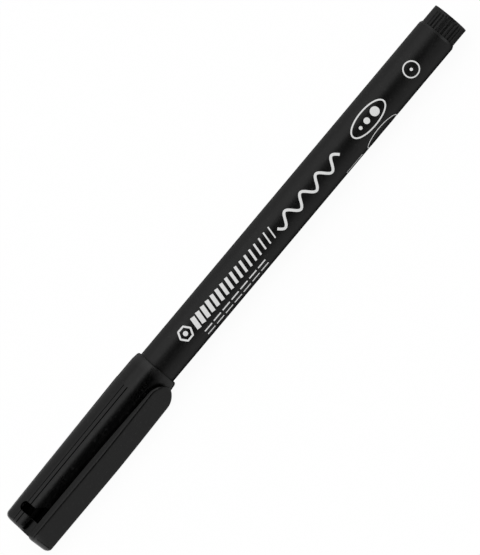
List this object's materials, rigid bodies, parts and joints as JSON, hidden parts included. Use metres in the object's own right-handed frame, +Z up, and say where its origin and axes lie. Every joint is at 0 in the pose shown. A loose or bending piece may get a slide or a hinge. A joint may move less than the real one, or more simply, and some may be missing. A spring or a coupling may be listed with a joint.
{
  "type": "permanent marker",
  "caption": "Slim capped permanent marker with a pull-off clip cap, a fluted end plug, a felt ink store and a fine nib in a stepped front section.",
  "frame": {"origin": "centre of the end plug's flat face, on the pen's axis", "axes": "+X along the pen's axis from the nib towards the end plug, +Z up with the pen lying on its cap and the edge of its clip, clip towards -Y"},
  "size_m": [0.1411, 0.0136, 0.0109],
  "materials": {
    "barrel_plastic": "moulded black polypropylene, satin, with pale printed marks",
    "plug_plastic": "moulded black polypropylene, satin, fluted",
    "store_fibre": "bonded polyester fibre soaked with black ink",
    "store_film": "thin clear film",
    "nib_fibre": "ground porous rod, soaked with black ink",
    "front_plastic": "moulded black polypropylene, satin",
    "cap_plastic": "moulded black polypropylene, satin",
    "inner_cap_plastic": "moulded black polyethylene",
    "print_ink": "pale silver-grey pad printing ink on the barrel"
  },
  "bodies": {
    "pen": {"barrel": "barrel_plastic", "end_plug": "plug_plastic", "reservoir_core": "store_fibre", "reservoir_film": "store_film", "nib": "nib_fibre", "front_section": "front_plastic"},
    "cap": {"cap_shell": "cap_plastic", "inner_cap": "inner_cap_plastic"},
    "clip": {"clip": "cap_plastic"}
  },
  "joints": [
    {"name": "cap_pull", "type": "slide", "parent": "pen", "child": "cap", "axis": [-1, 0, 0], "range_m": [0, 0.04]},
    {"name": "clip_flex", "type": "hinge", "parent": "cap", "child": "clip", "pos_m": [-0.1376, -0.00717, -0.00227], "axis": [0, 0.3013, -0.9535], "range_deg": [0, 4], "stiffness_Nm_per_rad": 0.4}
  ]
}
